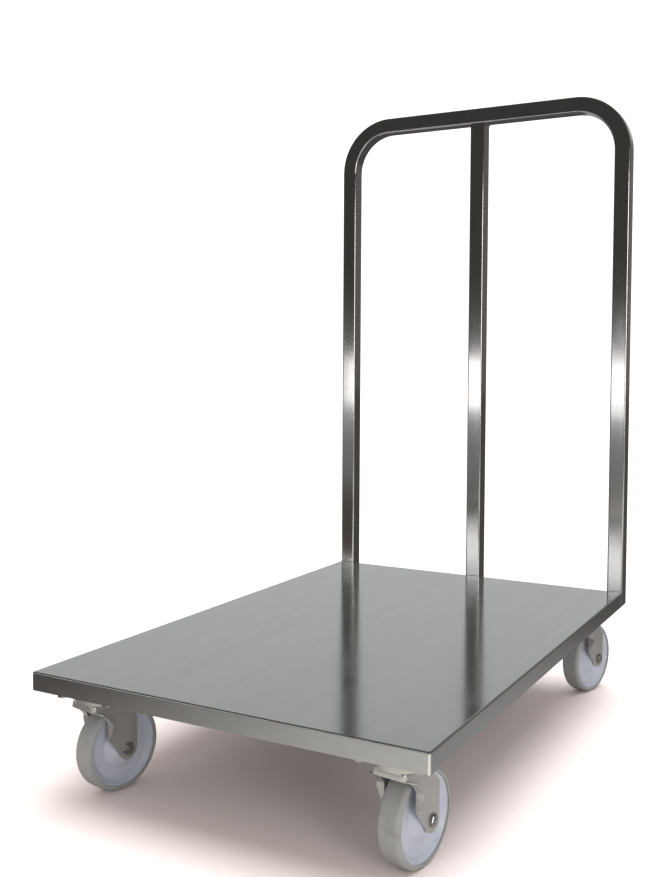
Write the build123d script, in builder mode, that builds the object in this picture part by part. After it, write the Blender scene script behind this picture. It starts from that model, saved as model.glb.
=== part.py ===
from build123d import *
import os
from math import acos, atan2, cos, degrees, hypot, sin, sqrt

# Luggage platform cart in stainless steel. Millimetres, +Z up, +Y towards the push handle.
# The origin is on the floor, under the middle of the overall length and width.

os.makedirs("parts", exist_ok=True)

# ---- Deck: one sheet folded down on four sides
deck_width = 600.0
deck_length = 900.0
deck_sheet = 1.5
skirt_depth = 26.0
skirt_bend_radius = 2.5
deck_corner_radius = 3.0

# ---- Push handle: square tube, welded against the rear skirt
tube_size = 30.0
tube_wall = 1.5
tube_corner_radius = 3.5
handle_rise = 930.0  # top of the bar above the deck
handle_bend_radius = 90.0  # on the tube's centre line
end_cap_thickness = 2.0
end_cap_plug_depth = 12.0
end_cap_clearance = 0.1
weld_leg = 3.0

# ---- Cross members (hat sections) and lengthwise stiffeners under the sheet
hat_depth = 30.0
hat_flat_width = 88.0
hat_skirt_clearance = 1.5  # flange edge to the inside of the end skirt
hat_sheet = 2.0
hat_end_gap = 14.0  # from the inside of the side skirts
stiffener_spacing = 260.0

# ---- Caster positions: swivel axes measured from the deck's edges, and how each one stands turned
caster_side_inset = 65.0
caster_end_inset = 64.0
rest_turn = {"front_left": -11.0, "front_right": -8.0, "rear_left": -13.0, "rear_right": -14.0}

# ---- Caster
caster_headroom = 26.0  # top of the wheel to the top of the plate
plate_length = 105.0
plate_width = 85.0
plate_thickness = 3.0
plate_corner_radius = 8.0
bolt_spacing_x = 80.0
bolt_spacing_y = 60.0
trail = 31.0  # swivel axis to wheel axis
ball_diameter = 5.0
ball_gap = 0.3  # between a ball and the fixed tracks
ball_track_clearance = 0.05  # between a ball and the crown's tracks
ball_seat_depth = 0.9  # how deep a ball sits in each track
upper_ball_circle_radius = 26.0
upper_ball_count = 24
lower_ball_circle_radius = 16.5
lower_ball_count = 14
race_boss_inner_radius = 20.0
race_boss_outer_radius = 31.0
race_boss_edge_radius = 1.5
crown_radius = 35.5
crown_sheet = 3.5
crown_drop = 7.5  # plate underside to crown top face
crown_rim_width = 2.5
crown_rim_gap = 2.0  # rim top to plate underside
crown_bore_radius = 8.0
kingpin_radius = 6.0
kingpin_head_radius = 11.0
kingpin_head_height = 2.3
kingpin_head_edge_radius = 1.5
lower_race_radius = 21.0
lower_race_thickness = 3.7

# ---- Fork
fork_gap = 45.0  # between the inner faces of the legs
fork_sheet = 3.0
fork_corner_radius = 8.0
hood_front_reach = 31.0  # front lip ahead of the swivel axis
hood_lip_depth = 12.5  # crown top face to the lip's lower edge
hood_edge_bow = 3.5  # how far the leg's upper front edge bows out from a straight line
leg_front_reach = 3.0  # straight front edge ahead of the swivel axis
leg_straight_drop = 33.5  # crown top face to the top of the straight front edge
leg_slant_rise = 20.5  # wheel axis up to the foot of the straight front edge
leg_foot_radius = 15.5  # round the wheel axis
leg_rear_chamfer_run = 18.0
leg_rear_chamfer_drop = 17.5  # crown top face to the top of the rear chamfer
leg_rear_chamfer_rise = 16.0
leg_flange_width = 8.0  # turned outward along the leg's front edge
leg_flange_taper = 18.0  # height over which the flange narrows at its lower end

# ---- Wheel
wheel_diameter = 125.0
tyre_width = 32.0
tyre_thickness = 7.5
tyre_shoulder_radius = 6.0
rim_width = 28.0
rim_ring_width = 2.5
rim_slope_width = 5.0
rim_slope_radius = 4.0
web_half_thickness = 9.0
hub_width = 40.0
hub_radius = 15.5
hub_cone_radius = 31.0
hub_cone_edge_radius = 12.0
bush_bore_clearance = 0.05
bush_wall = 3.0
bush_length = 14.0
bush_flange_radius = 13.0
bush_flange_thickness = 2.0
sleeve_outer_radius = 6.0

# ---- Fasteners
bolt_radius = 4.0
thread_clearance = 0.05
bolt_hole_clearance = 0.5
axle_hole_clearance = 0.1
hex_across_flats = 13.0
hex_head_height = 5.3
nut_height = 6.5
washer_radius = 8.0
washer_thickness = 1.6
bolt_tail = 1.5
axle_head_height = 3.2
axle_nut_height = 4.0
axle_nut_flange_radius = 9.0
axle_nut_flange_height = 1.5
axle_tail = 1.0
hex_chamfer = 0.8

# ---- Levels and stations that follow from the sizes above
caster_height = wheel_diameter + caster_headroom
deck_top = caster_height + hat_depth + deck_sheet
sheet_underside = deck_top - deck_sheet
skirt_bottom = deck_top - skirt_depth
handle_top = deck_top + handle_rise
deck_centre_y = -tube_size / 2
deck_front_y = deck_centre_y - deck_length / 2
deck_rear_y = deck_centre_y + deck_length / 2
handle_y = deck_rear_y + tube_size / 2
upright_x = deck_width / 2 - tube_size / 2
tube_bore = tube_size - 2 * tube_wall
tube_bore_corner_radius = tube_corner_radius - tube_wall
upright_bottom = skirt_bottom + end_cap_thickness

plate_underside = caster_height - plate_thickness
crown_top = plate_underside - crown_drop
crown_bottom = crown_top - crown_sheet
ball_radius = ball_diameter / 2
upper_ball_z = crown_top + ball_radius - ball_seat_depth
race_boss_bottom = upper_ball_z + ball_radius - ball_seat_depth
lower_ball_z = crown_bottom - ball_radius + ball_seat_depth
lower_race_top = lower_ball_z - ball_radius + ball_seat_depth
lower_race_bottom = lower_race_top - lower_race_thickness
groove_radius = ball_radius + ball_gap
wheel_radius = wheel_diameter / 2
fork_outer_width = fork_gap + 2 * fork_sheet
bolt_hole_radius = bolt_radius + bolt_hole_clearance
nut_bore_radius = bolt_radius + thread_clearance
hex_corner_radius = hex_across_flats / sqrt(3)

caster_x = deck_width / 2 - caster_side_inset
front_caster_y = deck_front_y + caster_end_inset
rear_caster_y = deck_rear_y - caster_end_inset
caster_axes = {
    "front_left": (-caster_x, front_caster_y),
    "front_right": (caster_x, front_caster_y),
    "rear_left": (-caster_x, rear_caster_y),
    "rear_right": (caster_x, rear_caster_y),
}


def write(piece, name):
    """Label a finished piece and write it to its own file."""
    piece.part.label = name
    export_step(piece.part, f"parts/{name}.step")


# =====================================================================================
# Deck
# =====================================================================================

# The notch at each corner is where the folded skirts meet and are welded together.
notch = deck_corner_radius
notch_top = deck_top - skirt_bend_radius
corner_notches = [
    (sx * (deck_width / 2 - notch / 2), deck_centre_y + sy * (deck_length / 2 - notch / 2))
    for sx in (-1, 1)
    for sy in (-1, 1)
]

with BuildPart() as deck_panel:
    with BuildSketch(Plane.XY.offset(skirt_bottom)):
        with Locations((0, deck_centre_y)):
            RectangleRounded(deck_width, deck_length, deck_corner_radius)
    extrude(amount=skirt_depth)
    fillet(deck_panel.faces().sort_by(Axis.Z)[-1].edges(), skirt_bend_radius)
    with BuildSketch(Plane.XY.offset(skirt_bottom)):
        with Locations((0, deck_centre_y)):
            RectangleRounded(
                deck_width - 2 * deck_sheet,
                deck_length - 2 * deck_sheet,
                deck_corner_radius - deck_sheet,
            )
    extrude(amount=skirt_depth - deck_sheet, mode=Mode.SUBTRACT)
    with BuildSketch(Plane.XY.offset(skirt_bottom)):
        with Locations(*corner_notches):
            Rectangle(notch, notch)
    extrude(amount=notch_top - skirt_bottom, mode=Mode.SUBTRACT)
write(deck_panel, "deck_panel")

# Ground-smooth weld beads that close the four corners, rounded to the deck's own corner radius.
with BuildPart() as corner_welds:
    with BuildSketch(Plane.XY.offset(skirt_bottom)):
        with Locations((0, deck_centre_y)):
            RectangleRounded(deck_width, deck_length, deck_corner_radius)
    extrude(amount=notch_top - skirt_bottom)
    with BuildSketch(Plane.XY.offset(skirt_bottom)):
        with Locations(*corner_notches):
            Rectangle(notch, notch)
    extrude(amount=notch_top - skirt_bottom, mode=Mode.INTERSECT)
write(corner_welds, "corner_welds")


# =====================================================================================
# Cross members and stiffeners
# =====================================================================================

hat_length = deck_width - 2 * (deck_sheet + hat_end_gap)
hat_full_width = 2 * (caster_end_inset - deck_sheet - hat_skirt_clearance)


def cross_member(centre_y, name):
    """A hat section across the deck, its flat side down, with holes for two caster plates."""
    hat_plane = Plane(origin=(-hat_length / 2, centre_y, sheet_underside), x_dir=(0, 1, 0), z_dir=(1, 0, 0))
    half_flat = hat_flat_width / 2
    half_full = hat_full_width / 2
    with BuildPart() as hat:
        with BuildSketch(hat_plane):
            with BuildLine():
                Polyline(
                    (-half_full, 0),
                    (-half_flat + hat_sheet, 0),
                    (-half_flat + hat_sheet, -hat_depth + hat_sheet),
                    (half_flat - hat_sheet, -hat_depth + hat_sheet),
                    (half_flat - hat_sheet, 0),
                    (half_full, 0),
                    (half_full, -hat_sheet),
                    (half_flat, -hat_sheet),
                    (half_flat, -hat_depth),
                    (-half_flat, -hat_depth),
                    (-half_flat, -hat_sheet),
                    (-half_full, -hat_sheet),
                    close=True,
                )
            make_face()
        extrude(amount=hat_length)
        fillet(hat.edges().filter_by(Axis.X).group_by(Axis.Z)[0], hat_sheet)
        with Locations((-caster_x, centre_y, caster_height), (caster_x, centre_y, caster_height)):
            with GridLocations(bolt_spacing_x, bolt_spacing_y, 2, 2):
                Cylinder(bolt_hole_radius, 3 * hat_sheet, mode=Mode.SUBTRACT)
    write(hat, name)


cross_member(front_caster_y, "front_cross_member")
cross_member(rear_caster_y, "rear_cross_member")

stiffener_length = rear_caster_y - front_caster_y - hat_full_width
stiffener_centre_y = (front_caster_y + rear_caster_y) / 2

with BuildPart() as deck_stiffeners:
    with BuildSketch(Plane.XZ.offset(-stiffener_centre_y - stiffener_length / 2)):
        with Locations((0, sheet_underside - tube_size / 2)):
            with GridLocations(stiffener_spacing, 0, 2, 1):
                RectangleRounded(tube_size, tube_size, tube_corner_radius)
                RectangleRounded(tube_bore, tube_bore, tube_bore_corner_radius, mode=Mode.SUBTRACT)
    extrude(amount=stiffener_length)
write(deck_stiffeners, "deck_stiffeners")


# =====================================================================================
# Push handle
# =====================================================================================

bar_z = handle_top - tube_size / 2
handle_plane = Plane(origin=(0, handle_y, 0), x_dir=(1, 0, 0), z_dir=(0, -1, 0))

with BuildPart() as handle_frame:
    with BuildLine(handle_plane) as handle_path:
        FilletPolyline(
            (-upright_x, upright_bottom),
            (-upright_x, bar_z),
            (upright_x, bar_z),
            (upright_x, upright_bottom),
            radius=handle_bend_radius,
        )
    foot_plane = Plane(origin=(-upright_x, handle_y, upright_bottom), x_dir=(1, 0, 0), z_dir=(0, 0, 1))
    with BuildSketch(foot_plane):
        RectangleRounded(tube_size, tube_size, tube_corner_radius)
    sweep(path=handle_path.wires()[0])
    with BuildSketch(foot_plane):
        RectangleRounded(tube_bore, tube_bore, tube_bore_corner_radius)
    sweep(path=handle_path.wires()[0], mode=Mode.SUBTRACT)
write(handle_frame, "handle_frame")

upright_length = handle_top - tube_size - upright_bottom

with BuildPart() as centre_upright:
    with BuildSketch(Plane.XY.offset(upright_bottom)):
        with Locations((0, handle_y)):
            RectangleRounded(tube_size, tube_size, tube_corner_radius)
            RectangleRounded(tube_bore, tube_bore, tube_bore_corner_radius, mode=Mode.SUBTRACT)
    extrude(amount=upright_length)
write(centre_upright, "centre_upright")

# Each upright's open foot is closed by a cap with a plug that sits inside the tube.
cap_plug = tube_bore - 2 * end_cap_clearance
with BuildPart() as upright_end_caps:
    with BuildSketch(Plane.XY.offset(skirt_bottom)):
        with Locations((-upright_x, handle_y), (0, handle_y), (upright_x, handle_y)):
            RectangleRounded(tube_size, tube_size, tube_corner_radius)
    extrude(amount=end_cap_thickness)
    with BuildSketch(Plane.XY.offset(upright_bottom)):
        with Locations((-upright_x, handle_y), (0, handle_y), (upright_x, handle_y)):
            RectangleRounded(cap_plug, cap_plug, tube_bore_corner_radius)
    extrude(amount=end_cap_plug_depth)
write(upright_end_caps, "upright_end_caps")

# Fillet welds: upright sides to the rear skirt, and the centre upright to the underside of the bar.
skirt_weld_height = notch_top - upright_bottom - weld_leg
bar_weld_length = tube_size - 2 * tube_corner_radius
skirt_weld_corners = [
    (-upright_x + tube_size / 2, 1),
    (-tube_size / 2, -1),
    (tube_size / 2, 1),
    (upright_x - tube_size / 2, -1),
]

with BuildPart() as handle_welds:
    with BuildSketch(Plane.XY.offset(upright_bottom)):
        for corner_x, side in skirt_weld_corners:
            with BuildLine():
                Polyline(
                    (corner_x, deck_rear_y),
                    (corner_x + side * weld_leg, deck_rear_y),
                    (corner_x, deck_rear_y + tube_corner_radius + weld_leg),
                    (corner_x, deck_rear_y + tube_corner_radius),
                    close=True,
                )
            make_face()
    extrude(amount=skirt_weld_height)
    with BuildSketch(Plane.XZ.offset(-handle_y - bar_weld_length / 2)):
        for side in (-1, 1):
            with BuildLine():
                Polyline(
                    (side * tube_size / 2, handle_top - tube_size),
                    (side * (tube_size / 2 + weld_leg), handle_top - tube_size),
                    (side * tube_size / 2, handle_top - tube_size - weld_leg),
                    close=True,
                )
            make_face()
    extrude(amount=bar_weld_length)
write(handle_welds, "handle_welds")


# =====================================================================================
# Plate fasteners: a bolt from below, through plate and cross member, into a weld nut
# =====================================================================================

bolt_points = [
    (x + dx * bolt_spacing_x / 2, y + dy * bolt_spacing_y / 2)
    for x, y in caster_axes.values()
    for dx in (-1, 1)
    for dy in (-1, 1)
]
nut_seat = caster_height + hat_sheet
bolt_seat = plate_underside - washer_thickness
bolt_end = nut_seat + nut_height + bolt_tail

with BuildPart() as caster_bolts:
    with BuildSketch(Plane.XY.offset(bolt_seat - hex_head_height)):
        with Locations(*bolt_points):
            RegularPolygon(hex_corner_radius, 6)
    extrude(amount=hex_head_height)
    chamfer(caster_bolts.faces().sort_by(Axis.Z).group_by(Axis.Z)[0].edges(), hex_chamfer)
    with BuildSketch(Plane.XY.offset(bolt_seat)):
        with Locations(*bolt_points):
            Circle(bolt_radius)
    extrude(amount=bolt_end - bolt_seat)
write(caster_bolts, "caster_bolts")

with BuildPart() as caster_washers:
    with BuildSketch(Plane.XY.offset(bolt_seat)):
        with Locations(*bolt_points):
            Circle(washer_radius)
            Circle(nut_bore_radius, mode=Mode.SUBTRACT)
    extrude(amount=washer_thickness)
write(caster_washers, "caster_washers")

with BuildPart() as caster_weld_nuts:
    with BuildSketch(Plane.XY.offset(nut_seat)):
        with Locations(*bolt_points):
            RegularPolygon(hex_corner_radius, 6)
            Circle(nut_bore_radius, mode=Mode.SUBTRACT)
    extrude(amount=nut_height)
write(caster_weld_nuts, "caster_weld_nuts")


# =====================================================================================
# One caster, made in its own frame: origin on the floor under the swivel axis,
# +X along the wheel's axle and +Y towards the wheel's axle (the trail direction)
# =====================================================================================

with BuildPart() as top_plate:
    with BuildSketch(Plane.XY.offset(plate_underside)):
        RectangleRounded(plate_length, plate_width, plate_corner_radius)
        with GridLocations(bolt_spacing_x, bolt_spacing_y, 2, 2):
            Circle(bolt_hole_radius, mode=Mode.SUBTRACT)
    extrude(amount=plate_thickness)
    with BuildSketch(Plane.XY.offset(race_boss_bottom)):
        Circle(race_boss_outer_radius)
        Circle(race_boss_inner_radius, mode=Mode.SUBTRACT)
    extrude(amount=plate_underside - race_boss_bottom)
    fillet(top_plate.faces().sort_by(Axis.Z)[0].outer_wire().edges(), race_boss_edge_radius)
    with BuildSketch(Plane.XZ):
        with Locations((upper_ball_circle_radius, upper_ball_z)):
            Circle(groove_radius)
    revolve(axis=Axis.Z, mode=Mode.SUBTRACT)
    with BuildSketch(Plane.XY.offset(plate_underside)):
        Circle(kingpin_radius)
    extrude(amount=plate_thickness, mode=Mode.SUBTRACT)

with BuildPart() as kingpin:
    with BuildSketch(Plane.XY.offset(lower_race_bottom)):
        Circle(kingpin_radius)
    extrude(amount=caster_height - lower_race_bottom)
    with BuildSketch(Plane.XY.offset(lower_race_bottom - kingpin_head_height)):
        Circle(kingpin_head_radius)
    extrude(amount=kingpin_head_height)
    fillet(kingpin.faces().sort_by(Axis.Z)[0].edges(), kingpin_head_edge_radius)

with BuildPart() as lower_race:
    with BuildSketch(Plane.XY.offset(lower_race_bottom)):
        Circle(lower_race_radius)
        Circle(kingpin_radius, mode=Mode.SUBTRACT)
    extrude(amount=lower_race_thickness)
    with BuildSketch(Plane.XZ):
        with Locations((lower_ball_circle_radius, lower_ball_z)):
            Circle(groove_radius)
    revolve(axis=Axis.Z, mode=Mode.SUBTRACT)

with BuildPart() as swivel_balls:
    with Locations((0, 0, upper_ball_z)):
        with PolarLocations(upper_ball_circle_radius, upper_ball_count):
            Sphere(ball_radius)
    with Locations((0, 0, lower_ball_z)):
        with PolarLocations(lower_ball_circle_radius, lower_ball_count):
            Sphere(ball_radius)

# The fork is one pressing: a round dished crown that carries the ball tracks, with two legs
# that hang from it. The leg's side outline is drawn in the YZ plane.
axle_z = wheel_radius
leg_rear_y = trail + leg_foot_radius
leg_straight_foot = (-leg_front_reach, axle_z + leg_slant_rise)
leg_straight_head = (-leg_front_reach, crown_top - leg_straight_drop)
lip_edge = (-hood_front_reach, crown_top - hood_lip_depth)
rear_chamfer_foot = (leg_rear_y, crown_top - leg_rear_chamfer_drop - leg_rear_chamfer_rise)
rear_chamfer_head = (leg_rear_y - leg_rear_chamfer_run, crown_top - leg_rear_chamfer_drop)

# The slanted edge runs from the straight edge's foot and meets the round foot as its tangent.
foot_run = leg_straight_foot[0] - trail
tangent_angle = atan2(leg_slant_rise, foot_run) + acos(leg_foot_radius / hypot(foot_run, leg_slant_rise))
foot_tangent = (
    trail + leg_foot_radius * cos(tangent_angle),
    axle_z + leg_foot_radius * sin(tangent_angle),
)
flange_reach = fork_outer_width / 2 + leg_flange_width
lip_reach = hypot(hood_front_reach, fork_gap / 2)

# Outward flanges: a strip as thick as the sheet along each leg's front edge. The middle is cut out,
# the outer side is trimmed round, and the lower end narrows to nothing.
flange_head = (leg_straight_head[0] + fork_sheet, leg_straight_head[1])
flange_foot = (leg_straight_foot[0] + fork_sheet, leg_straight_foot[1])
flange_lip = (lip_edge[0] + fork_sheet, lip_edge[1])
flange_full_z = leg_straight_foot[1] + leg_flange_taper

with BuildPart() as flanges:
    with BuildSketch(Plane.YZ.offset(-flange_reach)):
        with BuildLine():
            SagittaArc(lip_edge, leg_straight_head, hood_edge_bow)
            Line(leg_straight_head, leg_straight_foot)
            Line(leg_straight_foot, flange_foot)
            Line(flange_foot, flange_head)
            SagittaArc(flange_head, flange_lip, -hood_edge_bow)
            Line(flange_lip, lip_edge)
        make_face()
    extrude(amount=2 * flange_reach)
    with BuildSketch(Plane.XZ.offset(hood_front_reach)):
        with Locations((0, crown_top / 2)):
            Rectangle(fork_outer_width - fork_sheet, crown_top)
    extrude(amount=-2 * hood_front_reach, mode=Mode.SUBTRACT)
    with BuildSketch():
        Circle(lip_reach)
    extrude(amount=crown_top, mode=Mode.INTERSECT)
    with BuildSketch(Plane.XZ.offset(hood_front_reach)):
        with BuildLine():
            Polyline(
                (-flange_reach, crown_top),
                (-flange_reach, flange_full_z),
                (-fork_outer_width / 2, leg_straight_foot[1]),
                (fork_outer_width / 2, leg_straight_foot[1]),
                (flange_reach, flange_full_z),
                (flange_reach, crown_top),
                close=True,
            )
        make_face()
    extrude(amount=-2 * hood_front_reach, mode=Mode.INTERSECT)

with BuildPart() as fork:
    with BuildSketch(Plane.YZ.offset(-fork_outer_width / 2)):
        with BuildLine():
            Line((leg_rear_y, axle_z), rear_chamfer_foot)
            Line(rear_chamfer_foot, rear_chamfer_head)
            Line(rear_chamfer_head, (rear_chamfer_head[0], crown_top))
            Line((rear_chamfer_head[0], crown_top), (-hood_front_reach, crown_top))
            Line((-hood_front_reach, crown_top), lip_edge)
            SagittaArc(lip_edge, leg_straight_head, hood_edge_bow)
            Line(leg_straight_head, leg_straight_foot)
            Line(leg_straight_foot, foot_tangent)
            CenterArc(
                (trail, axle_z),
                leg_foot_radius,
                degrees(tangent_angle),
                360 - degrees(tangent_angle),
            )
        make_face()
    extrude(amount=fork_outer_width)
    fillet(
        fork.edges().filter_by(Axis.Y).group_by(Axis.Z)[-1]
        + fork.edges().filter_by(Axis.X).group_by(Axis.Z)[-1].sort_by(Axis.Y)[:1]
        + fork.edges().filter_by(Axis.Z).group_by(Axis.Y)[0],
        fork_corner_radius,
    )
    with BuildSketch(Plane.XZ.offset(-leg_rear_y)):
        with Locations((0, crown_bottom / 2)):
            Rectangle(fork_gap, crown_bottom)
    extrude(amount=leg_rear_y + hood_front_reach - fork_sheet, mode=Mode.SUBTRACT)
    add(flanges.part)
    with BuildSketch(Plane.XY.offset(crown_bottom)):
        Circle(crown_radius)
    extrude(amount=crown_sheet)
    with BuildSketch(Plane.XY.offset(crown_top)):
        Circle(crown_radius)
        Circle(crown_radius - crown_rim_width, mode=Mode.SUBTRACT)
    extrude(amount=crown_drop - crown_rim_gap)
    with BuildSketch(Plane.XY.offset(crown_bottom)):
        Circle(crown_bore_radius)
    extrude(amount=crown_sheet, mode=Mode.SUBTRACT)
    with BuildSketch(Plane.XZ):
        with Locations(
            (upper_ball_circle_radius, upper_ball_z),
            (lower_ball_circle_radius, lower_ball_z),
        ):
            Circle(ball_radius + ball_track_clearance)
    revolve(axis=Axis.Z, mode=Mode.SUBTRACT)
    with Locations((0, trail, axle_z)):
        Cylinder(
            bolt_radius + axle_hole_clearance,
            2 * fork_outer_width,
            rotation=(0, 90, 0),
            mode=Mode.SUBTRACT,
        )

axle_line = Plane(origin=(0, trail, axle_z), x_dir=(0, 1, 0), z_dir=(1, 0, 0))

with BuildPart() as axle_bolt:
    with BuildSketch(axle_line.offset(-fork_outer_width / 2 - axle_head_height)):
        Circle(axle_nut_flange_radius)
    extrude(amount=axle_head_height)
    fillet(axle_bolt.faces().sort_by(Axis.X)[0].edges(), axle_head_height / 2)
    with BuildSketch(axle_line.offset(-fork_outer_width / 2)):
        Circle(bolt_radius)
    extrude(amount=fork_outer_width + axle_nut_height + axle_tail)

with BuildPart() as axle_nut:
    with BuildSketch(axle_line.offset(fork_outer_width / 2)):
        Circle(axle_nut_flange_radius)
    extrude(amount=axle_nut_flange_height)
    with BuildSketch(axle_line.offset(fork_outer_width / 2)):
        RegularPolygon(hex_corner_radius, 6)
    extrude(amount=axle_nut_height)
    chamfer(axle_nut.faces().sort_by(Axis.X)[-1].edges(), hex_chamfer)
    with BuildSketch(axle_line.offset(fork_outer_width / 2)):
        Circle(nut_bore_radius)
    extrude(amount=axle_nut_height, mode=Mode.SUBTRACT)

with BuildPart() as axle_sleeve:
    with BuildSketch(axle_line.offset(-fork_gap / 2)):
        Circle(sleeve_outer_radius)
        Circle(bolt_radius + axle_hole_clearance, mode=Mode.SUBTRACT)
    extrude(amount=fork_gap)

bush_bore_radius = sleeve_outer_radius + bush_bore_clearance
hub_bore_radius = bush_bore_radius + bush_wall
rim_radius = wheel_radius - tyre_thickness
wheel_sketch_plane = Plane(origin=(0, trail, axle_z), x_dir=(1, 0, 0), z_dir=(0, -1, 0))
wheel_axis = Axis((0, trail, axle_z), (1, 0, 0))

# The wheel's half profiles are drawn with x along the axle and y outward from it.
with BuildPart() as wheel_core:
    with BuildSketch(wheel_sketch_plane) as core_profile:
        with BuildLine():
            Polyline(
                (0, hub_bore_radius),
                (hub_width / 2, hub_bore_radius),
                (hub_width / 2, hub_radius),
                (web_half_thickness, hub_cone_radius),
                (web_half_thickness, rim_radius - rim_ring_width - rim_slope_width),
                (rim_width / 2, rim_radius - rim_ring_width),
                (rim_width / 2, rim_radius),
                (0, rim_radius),
                close=True,
            )
        make_face()
        cone_edge, slope_edge = core_profile.vertices().group_by(Axis.X)[1].sort_by(Axis.Y)
        fillet(slope_edge, rim_slope_radius)
        fillet(cone_edge, hub_cone_edge_radius)
        mirror(about=Plane.YZ)
    revolve(axis=wheel_axis)

with BuildPart() as tyre:
    with BuildSketch(wheel_sketch_plane):
        with Locations((0, wheel_radius - tyre_thickness / 2)):
            Rectangle(tyre_width, tyre_thickness)
    revolve(axis=wheel_axis)
    fillet(
        tyre.edges().filter_by(GeomType.CIRCLE).sort_by(SortBy.LENGTH)[-2:],
        tyre_shoulder_radius,
    )

with BuildPart() as wheel_bushes:
    with BuildSketch(wheel_sketch_plane):
        with BuildLine():
            Polyline(
                (hub_width / 2 - bush_length, bush_bore_radius),
                (hub_width / 2 + bush_flange_thickness, bush_bore_radius),
                (hub_width / 2 + bush_flange_thickness, bush_flange_radius),
                (hub_width / 2, bush_flange_radius),
                (hub_width / 2, hub_bore_radius),
                (hub_width / 2 - bush_length, hub_bore_radius),
                close=True,
            )
        make_face()
        mirror(about=Plane.YZ)
    revolve(axis=wheel_axis)

# =====================================================================================
# Four casters: the plate side stays square to the deck, the fork side is turned
# =====================================================================================

fixed_pieces = {"top_plate": top_plate, "kingpin": kingpin, "lower_race": lower_race}
turned_pieces = {
    "swivel_balls": swivel_balls,
    "fork": fork,
    "axle_bolt": axle_bolt,
    "axle_nut": axle_nut,
    "axle_sleeve": axle_sleeve,
    "wheel_core": wheel_core,
    "tyre": tyre,
    "wheel_bushes": wheel_bushes,
}

for corner, (x, y) in caster_axes.items():
    square_seat = Location((x, y, 0))
    turned_seat = Location((x, y, 0), (0, 0, rest_turn[corner]))
    for seat, pieces in ((square_seat, fixed_pieces), (turned_seat, turned_pieces)):
        for piece_name, piece in pieces.items():
            with BuildPart() as placed:
                with Locations(seat):
                    add(piece.part)
            write(placed, f"{corner}_{piece_name}")
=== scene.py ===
# %% Start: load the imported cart
import math

import bmesh
import bpy
from mathutils import Matrix, Vector


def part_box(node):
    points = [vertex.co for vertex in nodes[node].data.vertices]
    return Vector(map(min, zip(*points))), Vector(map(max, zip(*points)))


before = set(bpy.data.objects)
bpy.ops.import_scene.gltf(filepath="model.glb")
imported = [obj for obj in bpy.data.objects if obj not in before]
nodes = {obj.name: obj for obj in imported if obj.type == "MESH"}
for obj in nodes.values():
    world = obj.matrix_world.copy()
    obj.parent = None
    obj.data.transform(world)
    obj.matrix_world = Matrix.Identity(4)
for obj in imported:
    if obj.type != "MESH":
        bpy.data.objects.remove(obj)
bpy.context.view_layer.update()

# %% [markdown]
# The cart is a stainless platform on four swivel casters, with a tall bent-tube handle.
# Everything below takes its place from the frame, so the first thing to read off is where
# the deck, the handle and the casters are. Lengths are in metres, +Y points to the handle.

# %% Stations taken from the frame
deck_low, deck_high = (Vector(corner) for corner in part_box("deck_panel"))
deck_centre = Vector(((deck_low.x + deck_high.x) / 2, (deck_low.y + deck_high.y) / 2, deck_high.z))
corners = ("front_left", "front_right", "rear_left", "rear_right")
print("deck top centre", [round(v, 4) for v in deck_centre])

# %% [markdown]
# Camera. The eye stands in front and to the right of the deck, a little above half the
# handle's height, and looks almost level. A long lens keeps the uprights upright. The lens
# shift is small: it only slides the frame so the cart fills it.

# %% Camera
eye_from_deck = Vector((0.7458, -1.4870, 0.4377))
turn_left = math.radians(28.52)
tilt_down = math.radians(2.55)
roll = math.radians(0.33)
lens_mm = 42.32

camera_data = bpy.data.cameras.new("camera")
camera_data.lens = lens_mm
camera_data.sensor_width = 36.0
camera_data.shift_x = -0.0116
camera_data.shift_y = -0.0405
camera = bpy.data.objects.new("camera", camera_data)
bpy.context.scene.collection.objects.link(camera)
camera.matrix_world = (
    Matrix.Translation(deck_centre + eye_from_deck)
    @ Matrix.Rotation(turn_left, 4, "Z")
    @ Matrix.Rotation(math.radians(90) - tilt_down, 4, "X")
    @ Matrix.Rotation(roll, 4, "Z")
)
bpy.context.scene.camera = camera
bpy.context.scene.view_settings.view_transform = "Standard"
print("camera at", [round(v, 3) for v in camera.matrix_world.translation])

# %% [markdown]
# Floor and light. Polished steel has no colour of its own to show: it shows the room. So
# the room is planned first. Behind the handle it is pale, and the deck mirrors that. In front
# lies a dim hall, which leaves the tops of the uprights dark. The helpers in this cell wire
# shader nodes in one line each, which keeps the recipes further down short.


# %% Helpers that wire nodes
def link(tree, source, target):
    tree.links.new(source, target)


def add_node(tree, kind, **settings):
    """Adds a node and sets its plain properties or the default values of its sockets."""
    node = tree.nodes.new(kind)
    for name, value in settings.items():
        if hasattr(node, name):
            setattr(node, name, value)
        else:
            node.inputs[name.replace("_", " ")].default_value = value
    return node


def fill_ramp(node, stops):
    """Sets a colour ramp from (place, grey or colour) pairs."""
    elements = node.color_ramp.elements
    while len(elements) < len(stops):
        elements.new(0.5)
    for element, (place, tone) in zip(elements, stops):
        element.position = place
        element.color = (*tone, 1.0) if isinstance(tone, tuple) else (tone, tone, tone, 1.0)


def map_range(tree, source, low, high, out_low=0.0, out_high=1.0, smooth=False):
    """A clamped map range fed by source."""
    node = add_node(tree, "ShaderNodeMapRange")
    node.interpolation_type = "SMOOTHSTEP" if smooth else "LINEAR"
    for socket, value in zip(("From Min", "From Max", "To Min", "To Max"), (low, high, out_low, out_high)):
        node.inputs[socket].default_value = value
    link(tree, source, node.inputs["Value"])
    return node.outputs[0]


# %% [markdown]
# The room as mirrors see it. An image wrapped round the scene could do this, but two colour
# ramps over the height of a direction are enough, and each can be tuned by hand: one for the
# pale side behind the cart, one for the dim hall in front of it.

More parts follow.
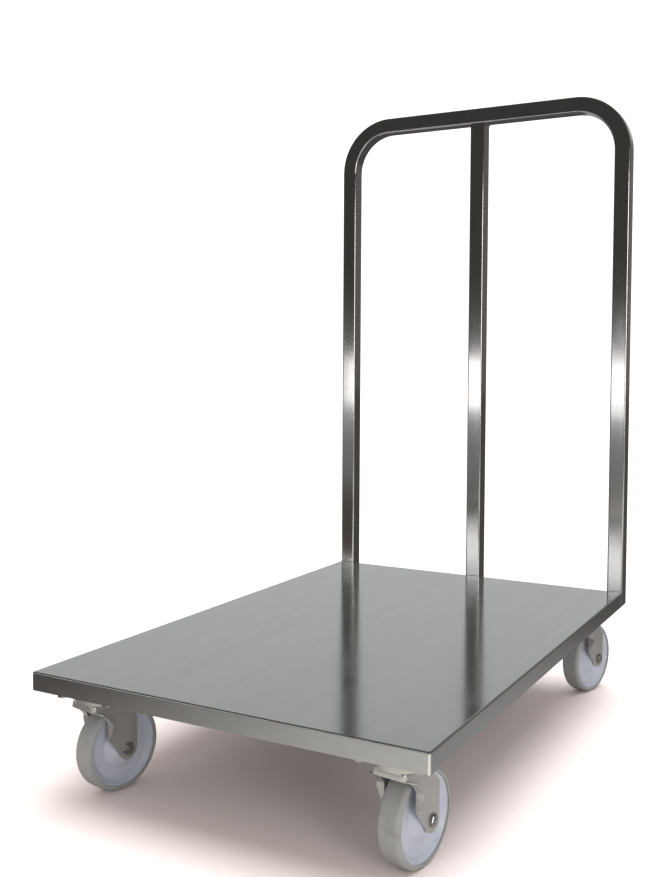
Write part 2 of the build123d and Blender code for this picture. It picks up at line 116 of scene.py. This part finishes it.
# %% World: what a mirror sees
world = bpy.data.worlds.new("studio")
bpy.context.scene.world = world
world.use_nodes = True
world.cycles.sampling_method = "NONE"
tree = world.node_tree
tree.nodes.clear()
direction = add_node(tree, "ShaderNodeTexCoord")
split = add_node(tree, "ShaderNodeSeparateXYZ")
link(tree, direction.outputs["Generated"], split.inputs[0])
height = map_range(tree, split.outputs["Z"], -1, 1)
backdrop_side = add_node(tree, "ShaderNodeValToRGB")
fill_ramp(backdrop_side, [
    (0.0, 0.30), (0.50, 0.305), (0.60, 0.32), (0.68, 0.28), (0.78, 0.08), (1.0, 0.05),
])
hall_side = add_node(tree, "ShaderNodeValToRGB")
fill_ramp(hall_side, [
    (0.0, 0.12), (0.44, 0.08), (0.475, 0.13), (0.497, 0.14),
    (0.507, 0.08), (0.53, 0.030), (0.70, 0.030), (1.0, 0.05),
])
link(tree, height, backdrop_side.inputs["Fac"])
link(tree, height, hall_side.inputs["Fac"])

# Behind and to the right the hall is dark too, which the right-hand faces mirror.
shaded_side = add_node(tree, "ShaderNodeMix", data_type="RGBA")
link(tree, map_range(tree, split.outputs["X"], 0.06, 0.22, smooth=True), shaded_side.inputs["Factor"])
link(tree, backdrop_side.outputs["Color"], shaded_side.inputs[6])
shaded_side.inputs[7].default_value = (0.080, 0.078, 0.075, 1)
mirrored = add_node(tree, "ShaderNodeMix", data_type="RGBA")
link(tree, map_range(tree, split.outputs["Y"], -0.10, 0.18, smooth=True), mirrored.inputs["Factor"])
link(tree, hall_side.outputs["Color"], mirrored.inputs[6])
link(tree, shaded_side.outputs[2], mirrored.inputs[7])

print("room tones:", len(backdrop_side.color_ramp.elements), "behind,",
      len(hall_side.color_ramp.elements), "in front")

# %% [markdown]
# Which ray sees what. The camera looks past the cart at plain white, mirror rays see the room
# above, and every other ray takes a plain warm fill light, so that the shadow's depth can be set
# without changing a single reflection.

# %% World: one light for each kind of ray
ray = add_node(tree, "ShaderNodeLightPath")
fill_light = add_node(tree, "ShaderNodeBackground", Color=(0.80, 0.755, 0.745, 1), Strength=1.0)
room = add_node(tree, "ShaderNodeBackground", Strength=1.9)
link(tree, mirrored.outputs[2], room.inputs["Color"])
by_ray = add_node(tree, "ShaderNodeMixShader")
link(tree, ray.outputs["Is Glossy Ray"], by_ray.inputs["Fac"])
link(tree, fill_light.outputs[0], by_ray.inputs[1])
link(tree, room.outputs[0], by_ray.inputs[2])
backdrop = add_node(tree, "ShaderNodeBackground", Color=(1, 1, 1, 1), Strength=1.3)
choose = add_node(tree, "ShaderNodeMixShader")
world_output = add_node(tree, "ShaderNodeOutputWorld")
link(tree, ray.outputs["Is Camera Ray"], choose.inputs["Fac"])
link(tree, by_ray.outputs[0], choose.inputs[1])
link(tree, backdrop.outputs[0], choose.inputs[2])
link(tree, choose.outputs[0], world_output.inputs["Surface"])
print("world:", world.name, "with", len(tree.nodes), "nodes")

# %% [markdown]
# Lights. One wide, soft light from almost straight above makes the broad shadow under the deck.
# It is hidden from mirrors, where it would draw a white line along every upward bend.
# A card on the right lifts the fork legs. A low white card in front shows in reflections alone:
# the uprights mirror it half way up, and once more at the foot by way of the deck.


# %% Lights
def aim_at(lamp, place, target):
    lamp.location = place
    lamp.rotation_euler = (Vector(target) - Vector(place)).to_track_quat("-Z", "Y").to_euler()
    bpy.context.scene.collection.objects.link(lamp)


def soft_sun(name, place, strength, spread, tone):
    data = bpy.data.lights.new(name, "SUN")
    data.energy, data.angle, data.color = strength, math.radians(spread), tone
    lamp = bpy.data.objects.new(name, data)
    lamp.visible_glossy = False
    aim_at(lamp, place, (0, 0, 0))


def area_light(name, place, target, width, height, power, tone):
    data = bpy.data.lights.new(name, "AREA")
    data.shape = "RECTANGLE"
    data.size, data.size_y = width, height
    data.energy, data.color = power, tone
    lamp = bpy.data.objects.new(name, data)
    aim_at(lamp, place, target)
    return lamp


soft_sun("skylight", (0.25, 0.50, 3.2), 2.9, 54, (0.96, 1.0, 1.02))
area_light("right_card", (2.4, -1.9, 0.9), (0, -0.2, 0.15), 1.0, 1.2, 18, (1.0, 0.98, 0.95))

card_middle_x, card_height, card_distance = -0.60, 0.52, 1.95
front_card = area_light(
    "front_card",
    (card_middle_x, 0.45 - card_distance, card_height), (card_middle_x, 0.45, card_height),
    1.46, 0.20, 2.0, (1, 1, 1),
)
front_card.visible_camera = False
front_card.visible_diffuse = False
print("lights:", sorted(light.name for light in bpy.data.lights))

# %% [markdown]
# The floor is one pale sheet. It is warm, so that what the deck shades turns a soft brown
# while the lit part goes white.

# %% Floor sheet
floor_mesh = bpy.data.meshes.new("floor")
floor_builder = bmesh.new()
bmesh.ops.create_grid(floor_builder, x_segments=1, y_segments=1, size=16)
floor_builder.to_mesh(floor_mesh)
floor_builder.free()
floor = bpy.data.objects.new("floor", floor_mesh)
bpy.context.scene.collection.objects.link(floor)
print("floor", [round(side, 1) for side in floor.dimensions])

# %% [markdown]
# The floor's paint. For mirror reflections the floor carries painted light and shade by place: in
# front it is painted dim and brownish on the left and lighter on the right, with a lighter painted
# band far out, and behind the cart painted shade deepens with distance, which grades the two skirts
# from one end to the other. Map ranges over the position do that.

# %% Floor paint, with painted light and shade for mirror rays
floor_paint = bpy.data.materials.new("pale_floor")
floor_paint.use_nodes = True
tree = floor_paint.node_tree
shader = tree.nodes["Principled BSDF"]
shader.inputs["Roughness"].default_value = 0.9
shader.inputs["Specular IOR Level"].default_value = 0.0
where = add_node(tree, "ShaderNodeNewGeometry")
split = add_node(tree, "ShaderNodeSeparateXYZ")
link(tree, where.outputs["Position"], split.inputs[0])
across = map_range(tree, split.outputs["X"], -0.75, 0.35, smooth=True)
# Mirror rays in front see painted shade: dark and brownish on the left, lighter on the right.
painted_front_shade_and_light = add_node(tree, "ShaderNodeMix", data_type="RGBA")
painted_front_shade_and_light.inputs[6].default_value = (0.052, 0.045, 0.040, 1)
painted_front_shade_and_light.inputs[7].default_value = (0.50, 0.48, 0.44, 1)
link(tree, across, painted_front_shade_and_light.inputs["Factor"])
# Farther out in front the painted shade is a plain dim grey.
painted_far_front_shade = add_node(tree, "ShaderNodeMix", data_type="RGBA")
link(tree, map_range(tree, split.outputs["Y"], -1.3, -2.8, smooth=True), painted_far_front_shade.inputs["Factor"])
link(tree, painted_front_shade_and_light.outputs[2], painted_far_front_shade.inputs[6])
painted_far_front_shade.inputs[7].default_value = (0.14, 0.14, 0.138, 1)
# A lighter painted band lies far out in front.
painted_far_front_light = add_node(tree, "ShaderNodeMix", data_type="RGBA")
link(tree, map_range(tree, split.outputs["Y"], -4.2, -8.0, smooth=True), painted_far_front_light.inputs["Factor"])
link(tree, painted_far_front_shade.outputs[2], painted_far_front_light.inputs[6])
painted_far_front_light.inputs[7].default_value = (0.24, 0.24, 0.24, 1)
# From under the cart backwards, mirror rays see the painted light and shade set below.
behind = add_node(tree, "ShaderNodeMix", data_type="RGBA")
link(tree, map_range(tree, split.outputs["Y"], -0.50, -0.34, smooth=True), behind.inputs["Factor"])
link(tree, painted_far_front_light.outputs[2], behind.inputs[6])
# Behind the cart the painted tone is lighter in the middle and shades off to the right.
painted_rear_light_and_shade = add_node(tree, "ShaderNodeMix", data_type="RGBA")
link(tree, map_range(tree, split.outputs["X"], 0.15, 0.55, smooth=True), painted_rear_light_and_shade.inputs["Factor"])
painted_rear_light_and_shade.inputs[6].default_value = (0.42, 0.40, 0.385, 1)
painted_rear_light_and_shade.inputs[7].default_value = (0.19, 0.185, 0.18, 1)
# Painted shade deepens with distance behind the cart.
painted_far_rear_shade = add_node(tree, "ShaderNodeMix", data_type="RGBA")
link(tree, map_range(tree, split.outputs["Y"], 0.10, 1.10, smooth=True), painted_far_rear_shade.inputs["Factor"])
link(tree, painted_rear_light_and_shade.outputs[2], painted_far_rear_shade.inputs[6])
painted_far_rear_shade.inputs[7].default_value = (0.05, 0.05, 0.048, 1)
link(tree, painted_far_rear_shade.outputs[2], behind.inputs[7])
# Camera and diffuse rays see the pale sheet itself, and mirror rays see the painted light and shade.
paper = add_node(tree, "ShaderNodeMix", data_type="RGBA")
ray = add_node(tree, "ShaderNodeLightPath")
link(tree, ray.outputs["Is Glossy Ray"], paper.inputs["Factor"])
paper.inputs[6].default_value = (0.93, 0.84, 0.815, 1)
link(tree, behind.outputs[2], paper.inputs[7])
link(tree, paper.outputs[2], shader.inputs["Base Color"])
floor.data.materials.append(floor_paint)
print("floor paint:", len(tree.nodes), "nodes")

# %% [markdown]
# Shared surface effects. Brushed grain, smears and edge polish turn up on several pieces,
# so each is a node group that hands out plain masks. The materials decide what a mask does:
# some of it goes to colour, some to roughness and some to bump.


# %% Helper: an empty node group
def new_group(name, inputs, outputs):
    """A shader node group with float sockets and its two end nodes."""
    group = bpy.data.node_groups.new(name, "ShaderNodeTree")
    for socket, default in inputs:
        kind = "NodeSocketVector" if isinstance(default, tuple) else "NodeSocketFloat"
        made = group.interface.new_socket(name=socket, in_out="INPUT", socket_type=kind)
        made.default_value = default
    for socket in outputs:
        group.interface.new_socket(name=socket, in_out="OUTPUT", socket_type="NodeSocketFloat")
    start = add_node(group, "NodeGroupInput")
    end = add_node(group, "NodeGroupOutput")
    return group, start, end


# %% [markdown]
# Brushed grain. A belt leaves fine parallel scratches with broader streaks among them. Both are
# the same noise, drawn out along one axis by a different stretch.

# %% Node group: brushed grain
grain_group, start, end = new_group(
    "Brushed grain", [("Stretch", (400.0, 8.0, 400.0)), ("Streak Stretch", (60.0, 1.5, 60.0))],
    ["Grain", "Streaks"],
)
place = add_node(grain_group, "ShaderNodeTexCoord")
noise_kinds = (("Stretch", "Grain", 3.0, 0.6), ("Streak Stretch", "Streaks", 4.0, 0.55))
for socket, out, detail, rough in noise_kinds:
    stretch = add_node(grain_group, "ShaderNodeMapping", vector_type="POINT")
    noise = add_node(grain_group, "ShaderNodeTexNoise", Scale=1.0, Detail=detail, Roughness=rough)
    link(grain_group, place.outputs["Object"], stretch.inputs["Vector"])
    link(grain_group, start.outputs[socket], stretch.inputs["Scale"])
    link(grain_group, stretch.outputs[0], noise.inputs["Vector"])
    link(grain_group, noise.outputs["Fac"], end.inputs[out])

print("group:", grain_group.name)

# %% [markdown]
# Handling smears. Hands and damp cloths leave cloudy patches, and dust leaves specks. The patches
# are a warped noise cut off at the given cover, the specks are the cell centres of a Voronoi
# pattern.

# %% Node group: handling smears
smear_group, start, end = new_group(
    "Handling smears", [("Size", 6.0), ("Cover", 0.5)], ["Smears", "Specks"],
)
place = add_node(smear_group, "ShaderNodeTexCoord")
cloud = add_node(smear_group, "ShaderNodeTexNoise", Detail=5.0, Roughness=0.62, Distortion=0.8)
shape = add_node(smear_group, "ShaderNodeMapRange", interpolation_type="SMOOTHSTEP")
width = add_node(smear_group, "ShaderNodeMath", operation="ADD")
width.inputs[1].default_value = 0.25
dots = add_node(smear_group, "ShaderNodeTexVoronoi", feature="F1")
dots_scale = add_node(smear_group, "ShaderNodeMath", operation="MULTIPLY")
dots_scale.inputs[1].default_value = 45.0
dot_shape = add_node(smear_group, "ShaderNodeMapRange")
dot_shape.inputs["From Min"].default_value = 0.10
dot_shape.inputs["From Max"].default_value = 0.04
link(smear_group, place.outputs["Object"], cloud.inputs["Vector"])
link(smear_group, start.outputs["Size"], cloud.inputs["Scale"])
link(smear_group, start.outputs["Cover"], shape.inputs["From Min"])
link(smear_group, start.outputs["Cover"], width.inputs[0])
link(smear_group, width.outputs[0], shape.inputs["From Max"])
link(smear_group, cloud.outputs["Fac"], shape.inputs["Value"])
link(smear_group, shape.outputs[0], end.inputs["Smears"])
link(smear_group, place.outputs["Object"], dots.inputs["Vector"])
link(smear_group, start.outputs["Size"], dots_scale.inputs[0])
link(smear_group, dots_scale.outputs[0], dots.inputs["Scale"])
link(smear_group, dots.outputs["Distance"], dot_shape.inputs["Value"])
link(smear_group, dot_shape.outputs[0], end.inputs["Specks"])

print("group:", smear_group.name)

# %% [markdown]
# Edge polish. Edges that are ground or rubbed shine more than the faces beside them. A bevelled
# normal differs from the true one only near an edge, so their dot product finds the edges.

# %% Node group: edge polish
edge_group, start, end = new_group("Edge polish", [("Radius", 0.0015)], ["Edge"])
rounded = add_node(edge_group, "ShaderNodeBevel", samples=4)
flat = add_node(edge_group, "ShaderNodeNewGeometry")
agree = add_node(edge_group, "ShaderNodeVectorMath", operation="DOT_PRODUCT")
edge_shape = add_node(edge_group, "ShaderNodeMapRange")
edge_shape.inputs["From Min"].default_value = 0.995
edge_shape.inputs["From Max"].default_value = 0.88
link(edge_group, start.outputs["Radius"], rounded.inputs["Radius"])
link(edge_group, rounded.outputs[0], agree.inputs[0])
link(edge_group, flat.outputs["Normal"], agree.inputs[1])
link(edge_group, agree.outputs["Value"], edge_shape.inputs["Value"])
link(edge_group, edge_shape.outputs[0], end.inputs["Edge"])
print("groups:", [group.name for group in bpy.data.node_groups])


# %% [markdown]
# Steel. One recipe serves every steel piece, because they are all stainless and differ only
# in how they were finished: how rough, how deep the grain, which way it runs, and how much
# the edges are polished by grinding or handling.


# %% Helpers that mix masks
def use_group(tree, group, **values):
    node = tree.nodes.new("ShaderNodeGroup")
    node.node_tree = group
    for name, value in values.items():
        node.inputs[name.replace("_", " ")].default_value = value
    return node


def mix_value(tree, base, *effects):
    """base plus each mask times its weight, as a chain of multiply-add nodes."""
    total = None
    for mask, weight in effects:
        step = add_node(tree, "ShaderNodeMath", operation="MULTIPLY_ADD")
        link(tree, mask, step.inputs[0])
        step.inputs[1].default_value = weight
        if total is None:
            step.inputs[2].default_value = base
        else:
            link(tree, total, step.inputs[2])
        total = step.outputs[0]
    return total


def two_tones(tree, mask, low, high):
    """A colour between low and high by a mask."""
    mix = add_node(tree, "ShaderNodeMix", data_type="RGBA")
    link(tree, mask, mix.inputs["Factor"])
    mix.inputs[6].default_value = (*low, 1)
    mix.inputs[7].default_value = (*high, 1)
    return mix.outputs[2]


# %% [markdown]
# The recipe itself. The streaks vary the colour a little either way, the grain makes the relief,
# and all the masks together vary the roughness. The base colours are given with each finish. A finish
# with a tumbled or dusty skin is a little less than fully metallic.


# %% Steel finishes
STREAK_SHADE = 0.10
GRAIN_ROUGHNESS = 0.06
STREAK_ROUGHNESS = 0.05
EDGE_SHINE = 0.06
MEAN_OF_GRAIN_AND_STREAKS = 0.05
RELIEF_HEIGHT = 0.0004


def steel(name, tone, roughness, grain, streak, bump, smear=0.06, edge=0.0012, metallic=1.0):
    """Stainless steel with its grain stretched by the three factors of grain and streak."""
    paint = bpy.data.materials.new(name)
    paint.use_nodes = True
    tree = paint.node_tree
    shader = tree.nodes["Principled BSDF"]
    shader.inputs["Metallic"].default_value = metallic
    brushed = use_group(tree, grain_group, Stretch=grain, Streak_Stretch=streak)
    smears = use_group(tree, smear_group, Size=5.0, Cover=0.5)
    edges = use_group(tree, edge_group, Radius=edge)
    dark = tuple((1 - STREAK_SHADE) * channel for channel in tone)
    light = tuple(min(1.0, (1 + STREAK_SHADE) * channel) for channel in tone)
    link(tree, two_tones(tree, brushed.outputs["Streaks"], dark, light), shader.inputs["Base Color"])
    rough = mix_value(
        tree, roughness - MEAN_OF_GRAIN_AND_STREAKS,
        (brushed.outputs["Grain"], GRAIN_ROUGHNESS), (brushed.outputs["Streaks"], STREAK_ROUGHNESS),
        (smears.outputs["Smears"], smear), (edges.outputs["Edge"], -EDGE_SHINE),
    )
    link(tree, rough, shader.inputs["Roughness"])
    relief = add_node(tree, "ShaderNodeBump")
    relief.inputs["Strength"].default_value = bump
    relief.inputs["Distance"].default_value = RELIEF_HEIGHT
    link(tree, brushed.outputs["Grain"], relief.inputs["Height"])
    link(tree, relief.outputs[0], shader.inputs["Normal"])
    return paint


deck_steel = steel(
    "satin_deck_sheet", (0.50, 0.51, 0.51), roughness=0.12,
    grain=(700, 12, 700), streak=(45, 1.2, 45), bump=0.04, smear=0.03, metallic=0.965,
)
tube_steel = steel(
    "polished_tube", (0.58, 0.575, 0.56), roughness=0.10,
    grain=(900, 900, 14), streak=(90, 90, 1.2), bump=0.04,
)
frame_steel = steel(
    "mill_finish_sheet", (0.46, 0.46, 0.45), roughness=0.38,
    grain=(60, 500, 500), streak=(4, 30, 30), bump=0.08,
)
# The weld beads are polished steel. Their tone is set paler than the other steels to paint a bright
# highlight along the welds.
weld_steel_and_painted_highlight = steel(
    "polished_weld_bead_and_painted_highlight", (0.86, 0.86, 0.84), roughness=0.14,
    grain=(300, 300, 900), streak=(60, 60, 90), bump=0.25,
)
pressed_steel = steel(
    "tumbled_pressing", (0.54, 0.54, 0.52), roughness=0.28,
    grain=(420, 420, 420), streak=(24, 24, 12), bump=0.03, metallic=0.74,
)
fastener_steel = steel(
    "stainless_fastener", (0.52, 0.51, 0.50), roughness=0.28,
    grain=(400, 400, 400), streak=(60, 60, 60), bump=0.08, edge=0.0006,
)
race_steel = steel(
    "turned_race", (0.70, 0.70, 0.69), roughness=0.14,
    grain=(200, 200, 900), streak=(40, 40, 120), bump=0.03,
)
ball_steel = steel(
    "bearing_ball", (0.66, 0.66, 0.67), roughness=0.12,
    grain=(300, 300, 300), streak=(60, 60, 60), bump=0.02,
)
print("steels:", deck_steel.name, tube_steel.name, frame_steel.name, weld_steel_and_painted_highlight.name)
print("caster steels:", pressed_steel.name, fastener_steel.name, race_steel.name, ball_steel.name)


# %% [markdown]
# Wheels. The core is pale blue-grey polypropylene with the faint cloudiness of a moulding,
# and the tread is soft grey rubber that has picked up dust and a few dark specks.


# %% Moulded finishes
CLOUD_DARK, CLOUD_LIGHT = 0.93, 1.06
MEAN_OF_GRAIN = 0.05


def moulded(name, tone, dust_and_edge_tone, roughness, grain_scale, bump, dirt, coat=0.0):
    paint = bpy.data.materials.new(name)
    paint.use_nodes = True
    tree = paint.node_tree
    shader = tree.nodes["Principled BSDF"]
    shader.inputs["Coat Weight"].default_value = coat
    smears = use_group(tree, smear_group, Size=18.0, Cover=dirt)
    cloud_scale = grain_scale / 12
    texture = use_group(tree, grain_group, Stretch=(grain_scale,) * 3, Streak_Stretch=(cloud_scale,) * 3)
    edges = use_group(tree, edge_group, Radius=0.0012)
    dark = tuple(CLOUD_DARK * channel for channel in tone)
    light = tuple(min(1.0, CLOUD_LIGHT * channel) for channel in tone)
    cloudy = two_tones(tree, texture.outputs["Streaks"], dark, light)
    # Smears and specks darken the moulding towards the dark tone as dust. The edge mask darkens every edge
    # and crease a little towards the same tone.
    darkened_by_dust_and_edges = add_node(tree, "ShaderNodeMix", data_type="RGBA")
    dust_and_edge_darkening = mix_value(
        tree, 0.0,
        (smears.outputs["Smears"], 0.35), (smears.outputs["Specks"], 0.25), (edges.outputs["Edge"], 0.12),
    )
    link(tree, dust_and_edge_darkening, darkened_by_dust_and_edges.inputs["Factor"])
    link(tree, cloudy, darkened_by_dust_and_edges.inputs[6])
    darkened_by_dust_and_edges.inputs[7].default_value = (*dust_and_edge_tone, 1)
    link(tree, darkened_by_dust_and_edges.outputs[2], shader.inputs["Base Color"])
    rough = mix_value(
        tree, roughness - MEAN_OF_GRAIN,
        (texture.outputs["Grain"], 2 * MEAN_OF_GRAIN), (smears.outputs["Smears"], 0.15),
    )
    link(tree, rough, shader.inputs["Roughness"])
    relief = add_node(tree, "ShaderNodeBump")
    relief.inputs["Strength"].default_value = bump
    relief.inputs["Distance"].default_value = RELIEF_HEIGHT
    link(tree, texture.outputs["Grain"], relief.inputs["Height"])
    link(tree, relief.outputs[0], shader.inputs["Normal"])
    return paint


wheel_plastic = moulded(
    "wheel_polypropylene", (0.42, 0.46, 0.53), (0.24, 0.24, 0.23),
    roughness=0.36, grain_scale=700, bump=0.06, dirt=0.58, coat=0.15,
)
tread_rubber = moulded(
    "grey_tread", (0.27, 0.285, 0.28), (0.13, 0.13, 0.12),
    roughness=0.58, grain_scale=900, bump=0.18, dirt=0.52,
)
bush_plastic = moulded(
    "bush_nylon", (0.10, 0.105, 0.11), (0.05, 0.05, 0.05),
    roughness=0.42, grain_scale=700, bump=0.08, dirt=0.55,
)
print("moulded:", wheel_plastic.name, tread_rubber.name, bush_plastic.name)

# %% [markdown]
# Every node is one real piece and keeps its own mesh, so a finish is all it needs. The frame's
# pieces are listed once. The caster's pieces are listed once too, and a loop hands them out to
# the four corners.

# %% Give each node its finish
finish_of = {
    "deck_panel": deck_steel,
    "corner_welds": weld_steel_and_painted_highlight,
    "handle_welds": weld_steel_and_painted_highlight,
    "front_cross_member": frame_steel,
    "rear_cross_member": frame_steel,
    "deck_stiffeners": frame_steel,
    "handle_frame": tube_steel,
    "centre_upright": tube_steel,
    "upright_end_caps": tube_steel,
    "caster_bolts": fastener_steel,
    "caster_washers": fastener_steel,
    "caster_weld_nuts": fastener_steel,
}
caster_finish = {
    "top_plate": race_steel,
    "kingpin": fastener_steel,
    "lower_race": race_steel,
    "swivel_balls": ball_steel,
    "fork": pressed_steel,
    "axle_bolt": fastener_steel,
    "axle_nut": fastener_steel,
    "axle_sleeve": fastener_steel,
    "wheel_core": wheel_plastic,
    "tyre": tread_rubber,
    "wheel_bushes": bush_plastic,
}
for corner in corners:
    for piece, finish in caster_finish.items():
        finish_of[f"{corner}_{piece}"] = finish
for name, finish in finish_of.items():
    mesh = nodes[name].data
    mesh.materials.clear()
    mesh.materials.append(finish)
print("finishes on", len(finish_of), "nodes; left plain:", sorted(set(nodes) - set(finish_of)))
